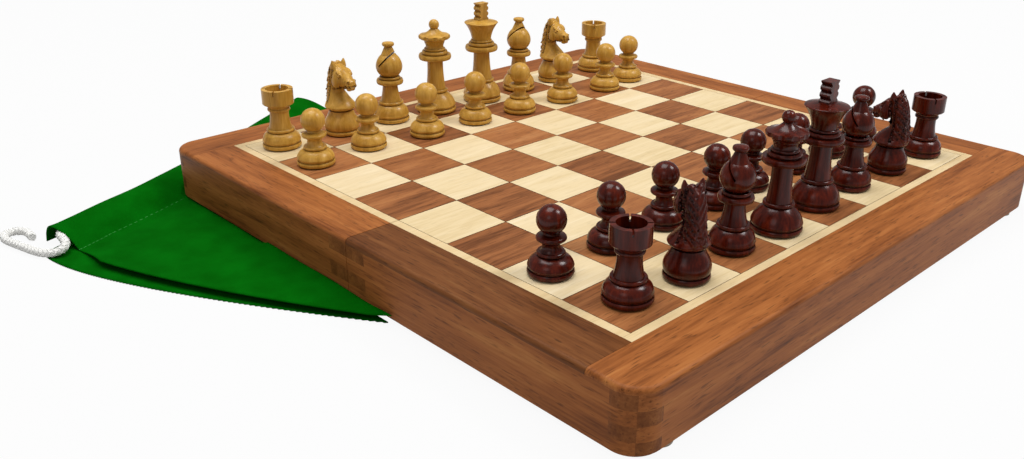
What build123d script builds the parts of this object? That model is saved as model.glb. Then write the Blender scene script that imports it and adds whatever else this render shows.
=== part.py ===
from build123d import *
from math import acos, cos, pi, radians, sqrt, tan
import os

# Folding wooden chess box, opened flat for play, with its turned pieces and cloth bag.
# Millimetres, +Z up. The origin is on the table, under the middle of the board.
# X runs along the seam between the halves. White sits on the +Y half, black on the -Y half.

# Board face
FILES = "abcdefgh"
SQUARE = 31.5
INLAY_W = 4.0
BORDER_W = 22.4
FACE_T = 2.4
GLUE_GAP = 0.12
SEAM_GAP = 0.3

# Box under the face
BOARD_H = 25.4
RAIL_T = 12.0
FINGERS = 4
PANEL_T = 3.0
REBATE = 5.0
CORNER_R = 11.0
EDGE_R = 2.0
RIM_EASE = 0.8

# Felt pads under the rims, and closing magnets in the outer rims
PAD_T = 1.4
PAD_R = 5.0
PAD_INSET = 18.0
WHITE_INNER_PAD_X = 64.0
MAGNET_R = 3.0
MAGNET_H = 2.5
MAGNET_X = 90.0

# Butt hinges let into the seam rails, with their axis one knuckle radius above the table
HINGE_X = 70.0
HINGE_L = 28.0
LEAF_W = 9.5
LEAF_T = 1.0
KNUCKLE_R = 1.2
KNUCKLE_CLEAR = 0.4
KNUCKLE_GAP = 0.3
PIN_R = 0.55
PIN_CLEAR = 0.05
SCREW_R = 0.9
SCREW_HEAD_R = 1.7
SCREW_HEAD_H = 0.8
SCREW_L = 8.0
SCREW_SPREAD = 16.0
SCREW_Y = 5.8
SCREW_CLEAR = 0.05

# Turning details shared by the pieces
FELT_T = 0.6
FELT_INSET = 1.4
RING_H = 1.9
RING_ROUND = 0.35
GROOVE = 0.45
FOOT_EDGE_H = 1.6
FOOT_BULGE = 0.7
BEAD_H = 1.5
BEAD_ROUND = 0.4
STEM_HOLLOW = 0.35
COLLAR_H = 2.6
COLLAR_STEP = 1.9
SECOND_COLLAR_H = 2.0
THIRD_COLLAR_H = 1.4
THIRD_COLLAR_STEP = 1.2

# King
KING_H = 55.5
KING_BASE_R = 10.8
KING_WAIST_R = 6.2
KING_WAIST_Z = 11.4
KING_STEM_R = 4.5
KING_COLLAR_R = 9.2
KING_COLLAR_Z = 29.2
KING_NECK_R = 5.4
KING_CROWN_R = 9.4
KING_CROWN_Z = 44.6
KING_CROWN_HOLLOW = 0.8
KING_FINIAL_Z = 46.6
KING_FINIAL_R = 4.1
KING_FINIAL_W = 6.8
KING_FINIAL_T = 5.0
KING_NOTCH = 1.6
KING_NOTCHES = 3

# Queen
QUEEN_BASE_R = 10.8
QUEEN_WAIST_R = 5.7
QUEEN_WAIST_Z = 11.2
QUEEN_STEM_R = 4.3
QUEEN_COLLAR_R = 8.9
QUEEN_COLLAR_Z = 29.4
QUEEN_NECK_R = 5.0
QUEEN_CUP_R = 5.4
QUEEN_CUP_Z = 38.2
QUEEN_CORONET_R = 8.6
QUEEN_CORONET_Z = 40.6
QUEEN_CORONET_H = 1.8
QUEEN_FLARE = 0.7
QUEEN_BALL_R = 2.8
QUEEN_BALL_NECK_R = 1.9
QUEEN_BALL_Z = 47.9
QUEEN_SCALLOPS = 10
QUEEN_SCALLOP_R = 2.4
QUEEN_SCALLOP_DEPTH = 0.75

# Bishop
BISHOP_BASE_R = 9.5
BISHOP_WAIST_R = 5.9
BISHOP_WAIST_Z = 9.6
BISHOP_STEM_R = 3.9
BISHOP_COLLAR_R = 7.1
BISHOP_COLLAR_Z = 20.6
BISHOP_COLLAR_H = 2.4
BISHOP_BEAD_R = 5.6
BISHOP_MITRE_R = 7.0
BISHOP_MITRE_Z = 29.6
BISHOP_BULGE = 0.75
BISHOP_TAPER_R = 4.0
BISHOP_TAPER_Z = 35.9
BISHOP_TIP_R = 2.0
BISHOP_TIP_Z = 40.2
BISHOP_KNOB_R = 3.2
BISHOP_KNOB_H = 2.5
BISHOP_KERF_W = 0.8
BISHOP_KERF_TILT = 48.0
BISHOP_KERF_Z = 30.4
BISHOP_KERF_PAST = 3.0

# Rook
ROOK_H = 29.8
ROOK_BASE_R = 9.5
ROOK_WAIST_R = 6.0
ROOK_WAIST_Z = 8.4
ROOK_STEM_R = 4.6
ROOK_STEP_R = 5.5
ROOK_STEP_Z = 18.8
ROOK_HEAD_R = 7.6
ROOK_HEAD_Z = 22.2
ROOK_CUP_R = 5.5
ROOK_CUP_H = 4.6
ROOK_KERF_W = 0.7
ROOK_KERF_H = 2.2
ROOK_KERFS = 2

# Pawn
PAWN_BASE_R = 9.0
PAWN_WAIST_R = 4.7
PAWN_WAIST_Z = 8.0
PAWN_STEM_R = 3.4
PAWN_FLARE_Z = 12.4
PAWN_COLLAR_R = 5.8
PAWN_COLLAR_Z = 14.0
PAWN_COLLAR_H = 1.6
PAWN_COLLAR_RISE = 0.7
PAWN_NECK_R = 3.2
PAWN_BALL_R = 5.7
PAWN_BALL_Z = 21.8

# Knight: a carved head on a turned base
KNIGHT_BASE_R = 9.0
KNIGHT_BELLY_R = 8.3
KNIGHT_BELLY_Z = 7.2
KNIGHT_BELLY_BULGE = 0.25
KNIGHT_WAIST_R = 6.2
KNIGHT_WAIST_HOLLOW = 0.4
KNIGHT_SEAT_Z = 12.6
KNIGHT_GAP = 0.9
KNIGHT_NECK_R = 5.4
KNIGHT_SKIRT_R = 6.9
KNIGHT_HEAD_R = 8.1
KNIGHT_SKIRT_H = 1.6
KNIGHT_H = 38.2
KNIGHT_EAR_GAP = 3.8
KNIGHT_TENON_R = 3.0
KNIGHT_TENON_L = 5.0
KNIGHT_TENON_CLEAR = 0.05
# Outlines of its head, heights as a share of the head above its skirt. Side view from mane to throat
KNIGHT_MANE = [(-7.7, 0.0), (-7.4, 0.2), (-7.0, 0.42), (-6.4, 0.64), (-5.3, 0.82), (-3.4, 0.93), (-0.6, 1.0)]
KNIGHT_FACE = [(1.6, 0.91), (4.4, 0.84), (8.0, 0.72), (10.8, 0.6)]
KNIGHT_JAW = [(10.4, 0.42), (8.6, 0.39), (3.2, 0.41), (1.4, 0.31)]
KNIGHT_CHEST_F = 7.7
KNIGHT_MUZZLE_BULGE = 0.8
KNIGHT_CHEST_BULGE = 0.4
# Front view, one flank, from the skirt to the ear
KNIGHT_FLANK = [(7.5, 0.0), (5.9, 0.12), (5.1, 0.3), (4.8, 0.48), (5.2, 0.66), (5.2, 0.86), (4.3, 1.0)]
# Plan, one flank, from the mane to the muzzle
KNIGHT_PLAN = [(-8.4, 2.6), (-5.0, 4.9), (3.0, 5.4), (6.0, 4.4), (8.5, 3.4), (12.8, 2.7)]
KNIGHT_SHOULDER = 0.25
KNIGHT_SHOULDER_R = 5.2
KNIGHT_MOUTH_AT = (11.4, 0.49)
KNIGHT_MOUTH_L = 5.4
KNIGHT_MOUTH_TILT = 12.0
KNIGHT_MOUTH_W = 0.7

# Cloth bag lying flat, with its mouth hem and drawstring towards the -X side. Its points are set out
# from the board's corner at -X and +Y, and a third number bows the stretch that ends at its point
BAG_T = 1.1
BAG_BODY_T = 2.6
BAG_HEM_T = 7.0
BAG_BOW = 3.5
BAG_FLAT = [(-69.6, -55.4), (-1.2, -175.4, BAG_BOW), (-1.2, -84.4), (187.4, -84.4), (210.4, -71.4),
            (121.4, 84.6), (68.4, 54.6), (5.4, 9.6), (-68.6, -17.4), (-74.6, -27.4)]
BAG_BODY = [(-69.6, -55.4), (-1.4, -175.4, BAG_BOW), (-1.4, -11.4), (1.4, -0.4), (7.4, 3.6), (5.4, 9.6),
            (-68.6, -17.4), (-74.6, -27.4)]
BAG_HEM = [(-66.6, -38.4), (-17.6, -16.4), (-3.6, 2.6), (-5.6, 5.6), (-68.6, -17.4), (-73.1, -26.4)]
BAG_BACK_HEM = [(24.4, 4.1), (172.4, 4.1), (121.4, 84.6), (68.4, 54.6)]
BAG_BACK_T = 2.6

# Drawstring: comes out of the hem's open end, lies on the table and doubles back. Set out as the bag is
CORD_R = 1.8
CASING_CLEAR = 0.05
CORD_BEND_SHARE = 0.45
CORD_ROUTE = [(-59.6, -21.4, 4.2), (-65.1, -25.9, 4.3), (-71.2, -30.0, 4.6), (-77.2, -29.8, 3.4),
              (-81.8, -24.8, 1.9), (-84.2, -17.0, 1.8), (-85.8, -8.2, 1.8), (-87.2, 0.2, 1.8),
              (-85.0, 6.8, 1.8), (-78.6, 7.2, 1.8), (-76.2, 0.8, 1.8), (-77.0, -6.4, 1.8),
              (-78.0, -13.4, 1.8)]

# Where each piece kind stands, and how far a piece is set off the middle of its square
BACK_RANK = {"a": "rook", "b": "knight", "c": "bishop", "d": "king", "e": "queen", "f": "bishop",
             "g": "knight", "h": "rook"}
SET_OFF = {"h1": (-2.5, 2.5), "e1": (-2.5, -2.5), "d1": (-1.5, -4.0), "c1": (-2.0, -2.0),
           "b1": (-4.5, -2.0), "a1": (1.0, -1.5), "h2": (-4.0, 1.0), "g2": (-3.0, 4.0),
           "f2": (-1.0, -0.5), "e2": (0.0, -1.0), "d2": (-1.0, -3.5), "c2": (0.0, -5.0),
           "b2": (4.5, -5.5), "a2": (-1.5, -1.5), "h7": (-4.0, 1.5), "g7": (-2.5, 2.0),
           "f7": (-1.5, 1.5), "d7": (-3.0, 1.0), "a7": (3.5, 2.0), "h8": (1.0, 0.0),
           "g8": (-1.5, -3.5), "e8": (-3.0, -2.0), "d8": (0.0, 1.0), "c8": (-0.5, 1.5),
           "a8": (3.0, -0.5)}
TURNED_ASIDE = {"f1": 28.0, "g8": -45.0}

# Worked out from the sizes above
HALF_FILES = len(FILES) // 2
SQUARES_EDGE = HALF_FILES * SQUARE
INLAY_EDGE = SQUARES_EDGE + INLAY_W
HALF = INLAY_EDGE + BORDER_W
RIM_Z = PAD_T
TOP_Z = RIM_Z + BOARD_H
RAIL_TOP = TOP_Z - FACE_T
SEAM_Y = SEAM_GAP / 2
AXIS_Z = KNUCKLE_R
LEAF_IN = KNUCKLE_R + KNUCKLE_CLEAR
RING_TOP = FELT_T + RING_H
BAG_CORNER = (-HALF, HALF, 0)


def block(low, high):
    """Box between two corners."""
    size = [b - a for a, b in zip(low, high)]
    middle = [(a + b) / 2 for a, b in zip(low, high)]
    return Pos(*middle) * Box(*size)


def save(node, *solids):
    """Writes one node, as one solid or as a group of separate solids."""
    shapes = [s for item in solids for s in item.solids()]
    shape = shapes[0] if len(shapes) == 1 else Compound(children=shapes)
    export_step(shape, f"parts/{node}.step")


def outline_face(outline):
    """Face inside points that go round it anticlockwise, closed by a straight line.

    A third number bows the stretch that ends at its point: outwards if positive, inwards if negative.
    """
    edges = []
    for (a0, b0, *_), (a1, b1, *bow) in zip(outline, outline[1:]):
        if bow:
            edges.append(SagittaArc((a0, b0), (a1, b1), -bow[0]))
        else:
            edges.append(Line((a0, b0), (a1, b1)))
    edges.append(Line(outline[-1][:2], outline[0][:2]))
    return make_face(edges)


def turned(outline):
    """Solid turned about Z from (radius, height) points."""
    return revolve(Plane.XZ * outline_face(outline), Axis.Z)


def slab(outline, z0, z1):
    """Upright prism over a plan outline."""
    return Pos(0, 0, z0) * extrude(outline_face(outline), z1 - z0)


def half_blank():
    """Outside of one half box: rounded outer corners, eased top and rim edges, square at the seam."""
    blank = block((-HALF, SEAM_Y, RIM_Z), (HALF, HALF, TOP_Z))
    blank = fillet(blank.edges().filter_by(Axis.Z).sort_by(Axis.Y)[-2:], CORNER_R)
    top = blank.faces().sort_by(Axis.Z)[-1].edges().sort_by(Axis.Y)[1:]
    blank = fillet(top, EDGE_R)
    rim = blank.faces().sort_by(Axis.Z)[0].edges().sort_by(Axis.Y)[1:]
    return chamfer(rim, RIM_EASE)


def finger_blocks(first):
    """Every second finger of the four corner joints, counted down from the top."""
    height = (RAIL_TOP - RIM_Z) / FINGERS
    blocks = []
    for level in range(first, FINGERS, 2):
        high = RAIL_TOP - level * height
        for x0 in (-HALF, HALF - RAIL_T):
            for y0 in (SEAM_Y, HALF - RAIL_T):
                blocks.append(block((x0, y0, high - height), (x0 + RAIL_T, y0 + RAIL_T, high)))
    return blocks


def hinge_places():
    return [-HINGE_X, HINGE_X]


def screw_places():
    return [(x + side * SCREW_SPREAD / 2, SCREW_Y) for x in hinge_places() for side in (-1, 1)]


def screw(clear=0.0):
    """Countersunk wood screw pointing up, its head flush with the rim."""
    head = Pos(0, 0, SCREW_HEAD_H / 2) * Cone(SCREW_HEAD_R + clear, SCREW_R + clear, SCREW_HEAD_H)
    shank = Pos(0, 0, SCREW_L / 2) * Cylinder(SCREW_R + clear, SCREW_L)
    return head + shank


def knuckle_spans(owner):
    """Stretches of the barrel along X: two outer knuckles on white's leaf, the middle one on black's."""
    third = HINGE_L / 3
    ends = {"white": [(-1.5 * third, -0.5 * third), (0.5 * third, 1.5 * third)],
            "black": [(-0.5 * third, 0.5 * third)]}[owner]
    return [(a + KNUCKLE_GAP / 2, b - KNUCKLE_GAP / 2) for a, b in ends]


def bar(x0, x1, radius):
    """Round bar along the hinge axis."""
    return Pos((x0 + x1) / 2, 0, AXIS_Z) * Rot(0, 90, 0) * Cylinder(radius, x1 - x0)


def hinge_leaf(owner):
    """Leaf on the +Y side of the axis, with its knuckles, at the middle of the seam."""
    leaf = block((-HINGE_L / 2, LEAF_IN, RIM_Z), (HINGE_L / 2, LEAF_W, RIM_Z + LEAF_T))
    for x0, x1 in knuckle_spans(owner):
        leaf += bar(x0, x1, KNUCKLE_R)
        leaf += block((x0, 0, RIM_Z), (x1, LEAF_IN, RIM_Z + LEAF_T))
    bore = PIN_R if owner == "white" else PIN_R + PIN_CLEAR
    leaf -= bar(-HINGE_L / 2, HINGE_L / 2, bore)
    for side in (-1, 1):
        leaf -= Pos(side * SCREW_SPREAD / 2, SCREW_Y, RIM_Z) * screw(SCREW_CLEAR)
    return leaf


def half_box(owner, turn):
    """Writes every node of one half. It is drawn on the +Y side and turned into place."""
    def write(node, *solids):
        save(f"{owner}_half_{node}", *[turn * s for s in solids])

    blank = half_blank()
    rails = blank & block((-HALF, SEAM_Y, RIM_Z), (HALF, HALF, RAIL_TOP))
    in_x = HALF - RAIL_T
    panel_x = in_x + REBATE
    panel = block((-panel_x, SEAM_Y + RAIL_T - REBATE, RAIL_TOP - PANEL_T), (panel_x, panel_x, RAIL_TOP))
    magnets = [Pos(side * MAGNET_X, HALF - RAIL_T / 2, RIM_Z + MAGNET_H / 2) * Cylinder(MAGNET_R, MAGNET_H)
               for side in (-1, 1)]

    long_cut = [panel, *finger_blocks(1)]
    outer = rails & block((-HALF, HALF - RAIL_T, RIM_Z), (HALF, HALF, RAIL_TOP))
    write("outer_rail", outer - long_cut - magnets)

    seam = rails & block((-HALF, SEAM_Y, RIM_Z), (HALF, SEAM_Y + RAIL_T, RAIL_TOP))
    seam -= long_cut
    for x in hinge_places():
        seam -= block((x - HINGE_L / 2, 0, RIM_Z), (x + HINGE_L / 2, LEAF_W, RIM_Z + LEAF_T))
        seam -= bar(x - HINGE_L / 2 - KNUCKLE_CLEAR, x + HINGE_L / 2 + KNUCKLE_CLEAR, LEAF_IN)
    for x, y in screw_places():
        seam -= Pos(x, y, RIM_Z) * screw(SCREW_CLEAR)
    write("seam_rail", seam)

    sides = [rails & block((x0, SEAM_Y, RIM_Z), (x0 + RAIL_T, HALF, RAIL_TOP)) for x0 in (-HALF, in_x)]
    write("side_rails", *[side - [panel, *finger_blocks(0)] for side in sides])
    write("panel", panel)
    write("magnets", *magnets)

    squares = {"light": [], "dark": []}
    gap = GLUE_GAP / 2
    for i in range(len(FILES)):
        for j in range(HALF_FILES):
            x0, y0 = (i - HALF_FILES) * SQUARE, j * SQUARE
            low = (x0 + gap, max(y0 + gap, SEAM_Y), RAIL_TOP)
            high = (x0 + SQUARE - gap, y0 + SQUARE - gap, TOP_Z)
            squares["dark" if (i + j) % 2 == 0 else "light"].append(block(low, high))
    write("light_squares", *squares["light"])
    write("dark_squares", *squares["dark"])

    s, e = SQUARES_EDGE + gap, INLAY_EDGE - gap
    write("inlay", block((-e, s, RAIL_TOP), (e, e, TOP_Z)),
          *[block((x0, SEAM_Y, RAIL_TOP), (x0 + e - s, s - GLUE_GAP, TOP_Z)) for x0 in (-e, s)])

    border = INLAY_EDGE + gap
    face = blank & block((-HALF, SEAM_Y, RAIL_TOP), (HALF, HALF, TOP_Z))
    write("border", face & block((-HALF, border, RAIL_TOP), (HALF, HALF, TOP_Z)),
          *[face & block((x0, SEAM_Y, RAIL_TOP), (x0 + HALF - border, border - GLUE_GAP, TOP_Z))
            for x0 in (-HALF, border)])

    write("hinge_leaves", *[Pos(x, 0, 0) * hinge_leaf(owner) for x in hinge_places()])
    write("hinge_screws", *[Pos(x, y, RIM_Z) * screw() for x, y in screw_places()])


def pads():
    """Felt discs under the outer rims. White's stand clear of the bag."""
    corner = HALF - PAD_INSET
    row = HALF - RAIL_T / 2
    places = {"black": [(side * corner, -row) for side in (-1, 1)],
              "white": [(WHITE_INNER_PAD_X, row), (corner, row)]}
    for owner, spots in places.items():
        save(f"{owner}_half_pads", *[Pos(x, y, PAD_T / 2) * Cylinder(PAD_R, PAD_T) for x, y in spots])


def foot(base_r, waist_r, waist_z, bulge=FOOT_BULGE):
    """Base ring, groove and swelling foot, up to the waist."""
    ring_r = base_r - RING_ROUND
    foot_z = RING_TOP + GROOVE
    return [(0, FELT_T), (ring_r, FELT_T), (ring_r, RING_TOP, RING_ROUND), (ring_r - GROOVE, RING_TOP),
            (ring_r - GROOVE, foot_z), (ring_r, foot_z + FOOT_EDGE_H, RING_ROUND),
            (waist_r, waist_z, bulge)]


def bead(r, z0, z1):
    """Rounded ring between two heights."""
    return [(r - BEAD_ROUND, z0), (r - BEAD_ROUND, z1, BEAD_ROUND)]


def stem(waist_r, waist_z, stem_r, top_z):
    """Bead on the foot and the hollowed stem above it."""
    bead_top = waist_z + BEAD_H
    return [*bead(waist_r + 2 * BEAD_ROUND, waist_z, bead_top), (waist_r - BEAD_ROUND, bead_top),
            (stem_r, top_z, -STEM_HOLLOW)]


def collars(r, z):
    """Three stacked collars of the tall pieces. Returns their outline and the height of their top."""
    second_z = z + COLLAR_H
    third_z = second_z + SECOND_COLLAR_H
    top = third_z + THIRD_COLLAR_H
    second_r = r - COLLAR_STEP
    return [*bead(r, z, second_z), *bead(second_r, second_z, third_z),
            *bead(second_r - THIRD_COLLAR_STEP, third_z, top)], top


def ball(neck_r, ball_r, middle_z):
    """Ball standing on a neck, up to its top on the axis."""
    drop = sqrt(ball_r ** 2 - neck_r ** 2)
    half_angle = (pi - acos(drop / ball_r)) / 2
    return [(neck_r, middle_z - drop), (0, middle_z + ball_r, ball_r * (1 - cos(half_angle)))]


def cap(edge_r, edge_z, rise):
    """Shallow dome from its edge to its top on the axis."""
    dome_r = (edge_r ** 2 + rise ** 2) / (2 * rise)
    chord = sqrt(edge_r ** 2 + rise ** 2)
    return [(0, edge_z + rise, dome_r - sqrt(dome_r ** 2 - chord ** 2 / 4))]


def felt(base_r):
    return Pos(0, 0, FELT_T / 2) * Cylinder(base_r - FELT_INSET, FELT_T)


def king():
    rings, top = collars(KING_COLLAR_R, KING_COLLAR_Z)
    edge = BEAD_ROUND
    body = turned([
        *foot(KING_BASE_R, KING_WAIST_R, KING_WAIST_Z),
        *stem(KING_WAIST_R, KING_WAIST_Z, KING_STEM_R, KING_COLLAR_Z),
        *rings,
        (KING_NECK_R, top), (KING_CROWN_R, KING_CROWN_Z, -KING_CROWN_HOLLOW),
        (KING_CROWN_R - edge, KING_CROWN_Z + edge, edge / 4),
        (KING_FINIAL_T / 2, KING_FINIAL_Z), (0, KING_FINIAL_Z)])
    height = KING_H - KING_CROWN_Z
    finial = Pos(0, 0, KING_CROWN_Z + height / 2) * Cylinder(KING_FINIAL_R, height)
    finial &= Pos(0, 0, KING_CROWN_Z + height / 2) * Box(KING_FINIAL_T, KING_FINIAL_W, height)
    pitch = (KING_H - KING_FINIAL_Z) / KING_NOTCHES
    for level in range(KING_NOTCHES):
        for side in (-1, 1):
            middle = Pos(0, side * KING_FINIAL_W / 2, KING_FINIAL_Z + (level + 0.5) * pitch)
            finial -= middle * Rot(45, 0, 0) * Box(2 * KING_FINIAL_R, KING_NOTCH, KING_NOTCH)
    return [body + finial, felt(KING_BASE_R)]


def queen():
    rings, top = collars(QUEEN_COLLAR_R, QUEEN_COLLAR_Z)
    coronet_top = QUEEN_CORONET_Z + QUEEN_CORONET_H
    rim_r = QUEEN_CORONET_R - BEAD_ROUND
    ball_start, ball_top = ball(QUEEN_BALL_NECK_R, QUEEN_BALL_R, QUEEN_BALL_Z)
    body = turned([
        *foot(QUEEN_BASE_R, QUEEN_WAIST_R, QUEEN_WAIST_Z),
        *stem(QUEEN_WAIST_R, QUEEN_WAIST_Z, QUEEN_STEM_R, QUEEN_COLLAR_Z),
        *rings,
        (QUEEN_NECK_R, top), (QUEEN_CUP_R, QUEEN_CUP_Z, -STEM_HOLLOW), (rim_r, QUEEN_CORONET_Z, -QUEEN_FLARE),
        (rim_r, coronet_top, BEAD_ROUND), (*ball_start, -QUEEN_FLARE), ball_top])
    gouge_r = QUEEN_CORONET_R + QUEEN_SCALLOP_R - QUEEN_SCALLOP_DEPTH
    gouge = Pos(gouge_r, 0, coronet_top) * Cylinder(QUEEN_SCALLOP_R, QUEEN_CORONET_R)
    for n in range(QUEEN_SCALLOPS):
        body -= Rot(0, 0, 360 * n / QUEEN_SCALLOPS) * gouge
    return [body, felt(QUEEN_BASE_R)]


def bishop():
    bead_z = BISHOP_COLLAR_Z + BISHOP_COLLAR_H
    mitre_z = bead_z + BEAD_H
    knob_r = BISHOP_KNOB_R - BEAD_ROUND
    knob_top = BISHOP_TIP_Z + BISHOP_KNOB_H - BEAD_ROUND
    body = turned([
        *foot(BISHOP_BASE_R, BISHOP_WAIST_R, BISHOP_WAIST_Z),
        *stem(BISHOP_WAIST_R, BISHOP_WAIST_Z, BISHOP_STEM_R, BISHOP_COLLAR_Z),
        *bead(BISHOP_COLLAR_R, BISHOP_COLLAR_Z, bead_z), *bead(BISHOP_BEAD_R, bead_z, mitre_z),
        (BISHOP_STEM_R, mitre_z), (BISHOP_MITRE_R, BISHOP_MITRE_Z, BISHOP_BULGE),
        (BISHOP_TAPER_R, BISHOP_TAPER_Z, BISHOP_BULGE), (BISHOP_TIP_R, BISHOP_TIP_Z),
        (knob_r, BISHOP_TIP_Z + BEAD_ROUND), (knob_r, knob_top, BEAD_ROUND),
        *cap(knob_r, knob_top, BEAD_ROUND)])
    saw_l = 2 * BISHOP_BASE_R
    saw = Pos(saw_l / 2, 0, 0) * Box(saw_l, saw_l, BISHOP_KERF_W)
    kerf = Pos(-BISHOP_KERF_PAST, 0, BISHOP_KERF_Z) * Rot(0, -BISHOP_KERF_TILT, 0) * saw
    return [body - kerf, felt(BISHOP_BASE_R)]


def rook():
    step_top = ROOK_STEP_Z + BEAD_H
    body = turned([
        *foot(ROOK_BASE_R, ROOK_WAIST_R, ROOK_WAIST_Z),
        *stem(ROOK_WAIST_R, ROOK_WAIST_Z, ROOK_STEM_R, ROOK_STEP_Z),
        *bead(ROOK_STEP_R, ROOK_STEP_Z, step_top), (ROOK_HEAD_R - BEAD_ROUND, ROOK_HEAD_Z, -BEAD_ROUND),
        (ROOK_HEAD_R, ROOK_HEAD_Z + BEAD_ROUND), (ROOK_HEAD_R, ROOK_H), (ROOK_CUP_R, ROOK_H),
        (ROOK_CUP_R, ROOK_H - ROOK_CUP_H), (0, ROOK_H - ROOK_CUP_H)])
    for n in range(ROOK_KERFS):
        saw = Pos(0, 0, ROOK_H - ROOK_KERF_H / 2) * Box(3 * ROOK_HEAD_R, ROOK_KERF_W, ROOK_KERF_H)
        body -= Rot(0, 0, 45 + 180 * n / ROOK_KERFS) * saw
    return [body, felt(ROOK_BASE_R)]


def pawn():
    collar_r = PAWN_COLLAR_R - BEAD_ROUND
    collar_top = PAWN_COLLAR_Z + PAWN_COLLAR_H
    body = turned([
        *foot(PAWN_BASE_R, PAWN_WAIST_R, PAWN_WAIST_Z),
        *stem(PAWN_WAIST_R, PAWN_WAIST_Z, PAWN_STEM_R, PAWN_FLARE_Z),
        (collar_r, PAWN_COLLAR_Z, -STEM_HOLLOW), (collar_r, collar_top, BEAD_ROUND),
        (PAWN_NECK_R, collar_top + PAWN_COLLAR_RISE),
        *ball(PAWN_NECK_R, PAWN_BALL_R, PAWN_BALL_Z)])
    return [body, felt(PAWN_BASE_R)]


def knight():
    """Horse head facing +X: its side, front and plan outlines cut from one blank, then carved."""
    base = turned([
        *foot(KNIGHT_BASE_R, KNIGHT_BELLY_R, KNIGHT_BELLY_Z, KNIGHT_BELLY_BULGE),
        (KNIGHT_WAIST_R, KNIGHT_SEAT_Z, -KNIGHT_WAIST_HOLLOW), (0, KNIGHT_SEAT_Z)])
    head_z = KNIGHT_SEAT_Z
    skirt_z = head_z + KNIGHT_GAP
    head = knight_head(skirt_z)
    tenon_z = head_z - KNIGHT_TENON_L
    neck = Pos(0, 0, (head_z + skirt_z) / 2) * Cylinder(KNIGHT_NECK_R, KNIGHT_GAP)
    tenon = Pos(0, 0, (tenon_z + head_z) / 2) * Cylinder(KNIGHT_TENON_R, KNIGHT_TENON_L)
    base -= Pos(0, 0, (tenon_z + head_z) / 2) * Cylinder(KNIGHT_TENON_R + KNIGHT_TENON_CLEAR, KNIGHT_TENON_L)
    return [base, head + neck + tenon, felt(KNIGHT_BASE_R)]


def knight_head(z0):
    """Carved head standing on its round skirt, whose underside is at z0."""
    z1 = z0 + KNIGHT_SKIRT_H
    tall = KNIGHT_H - z1
    deep = 3 * KNIGHT_HEAD_R

    def raised(points):
        return [(p, z1 + share * tall) for p, share in points]

    mane, face, jaw = raised(KNIGHT_MANE), raised(KNIGHT_FACE), raised(KNIGHT_JAW)
    chest = (KNIGHT_CHEST_F, z1)
    side = make_face([
        Polyline(chest, *mane, *face), SagittaArc(face[-1], jaw[0], KNIGHT_MUZZLE_BULGE), Polyline(*jaw),
        SagittaArc(jaw[-1], chest, KNIGHT_CHEST_BULGE)])

    flank = raised(KNIGHT_FLANK)
    notch = (0, KNIGHT_H - KNIGHT_EAR_GAP)
    front = make_face(Polyline(*flank, notch, *[(-y, z) for y, z in reversed(flank)], close=True))

    plan = slab([(x, -y) for x, y in KNIGHT_PLAN] + KNIGHT_PLAN[::-1], z1, KNIGHT_H)
    shoulder_z = z1 + KNIGHT_SHOULDER * tall
    shoulder = turned([(0, z1), (KNIGHT_HEAD_R, z1), (KNIGHT_SHOULDER_R, shoulder_z), (0, shoulder_z)])
    head = extrude(Plane.XZ * side, deep, both=True) & extrude(Plane.YZ * front, deep, both=True)
    head &= plan + shoulder

    mouth_f, mouth_share = KNIGHT_MOUTH_AT
    mouth = Rot(0, -KNIGHT_MOUTH_TILT, 0) * Box(KNIGHT_MOUTH_L, deep, KNIGHT_MOUTH_W)
    head -= Pos(mouth_f, 0, z1 + mouth_share * tall) * mouth
    return head + Pos(0, 0, (z0 + z1) / 2) * Cone(KNIGHT_SKIRT_R, KNIGHT_HEAD_R, KNIGHT_SKIRT_H)


def set_pieces():
    """Writes all the pieces, each on its square."""
    kinds = {"king": king(), "queen": queen(), "bishop": bishop(), "rook": rook(), "knight": knight(),
             "pawn": pawn()}
    middle = (len(FILES) - 1) / 2
    for owner, back, front, facing in (("white", 1, 2, -90), ("black", 8, 7, 90)):
        for column, letter in enumerate(FILES):
            for rank, kind in ((back, BACK_RANK[letter]), (front, "pawn")):
                square = f"{letter}{rank}"
                dx, dy = SET_OFF.get(square, (0, 0))
                place = Pos((middle - column) * SQUARE + dx, (middle + 1 - rank) * SQUARE + dy, TOP_Z)
                place *= Rot(0, 0, facing + TURNED_ASIDE.get(square, 0))
                save(f"{owner}_{kind}_{letter}", *[place * solid for solid in kinds[kind]])


def cord_radii(route):
    """Largest arc at each bend that leaves the runs beside it a straight middle."""
    radii = []
    for a, b, c in zip(route, route[1:], route[2:]):
        run_in, run_out = Vector(b) - Vector(a), Vector(c) - Vector(b)
        turn = radians(run_in.get_angle(run_out))
        radii.append(CORD_BEND_SHARE * min(run_in.length, run_out.length) / tan(turn / 2))
    return radii


def bag():
    """Flat cloth bag, thin where the board stands over it, with its raised hem outside the board."""
    body = slab(BAG_FLAT, 0, BAG_T) + slab(BAG_BODY, 0, BAG_BODY_T) + slab(BAG_HEM, 0, BAG_HEM_T)
    body += slab(BAG_BACK_HEM, 0, BAG_BACK_T)

    radii = cord_radii(CORD_ROUTE)
    path = FilletPolyline(*CORD_ROUTE, radius=radii)
    start = Plane(path @ 0, z_dir=path % 0)
    cord = sweep(start * Circle(CORD_R), path)
    casing = sweep(start * Circle(CORD_R + CASING_CLEAR), path)
    print("cord radii", [round(r, 1) for r in radii])
    tube_volume = pi * CORD_R ** 2 * path.length
    print("cord length", round(path.length, 1), "volume share", round(cord.volume / tube_volume, 4))
    save("cloth_bag", Pos(*BAG_CORNER) * (body - casing))
    save("drawstring", Pos(*BAG_CORNER) * cord)


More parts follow.
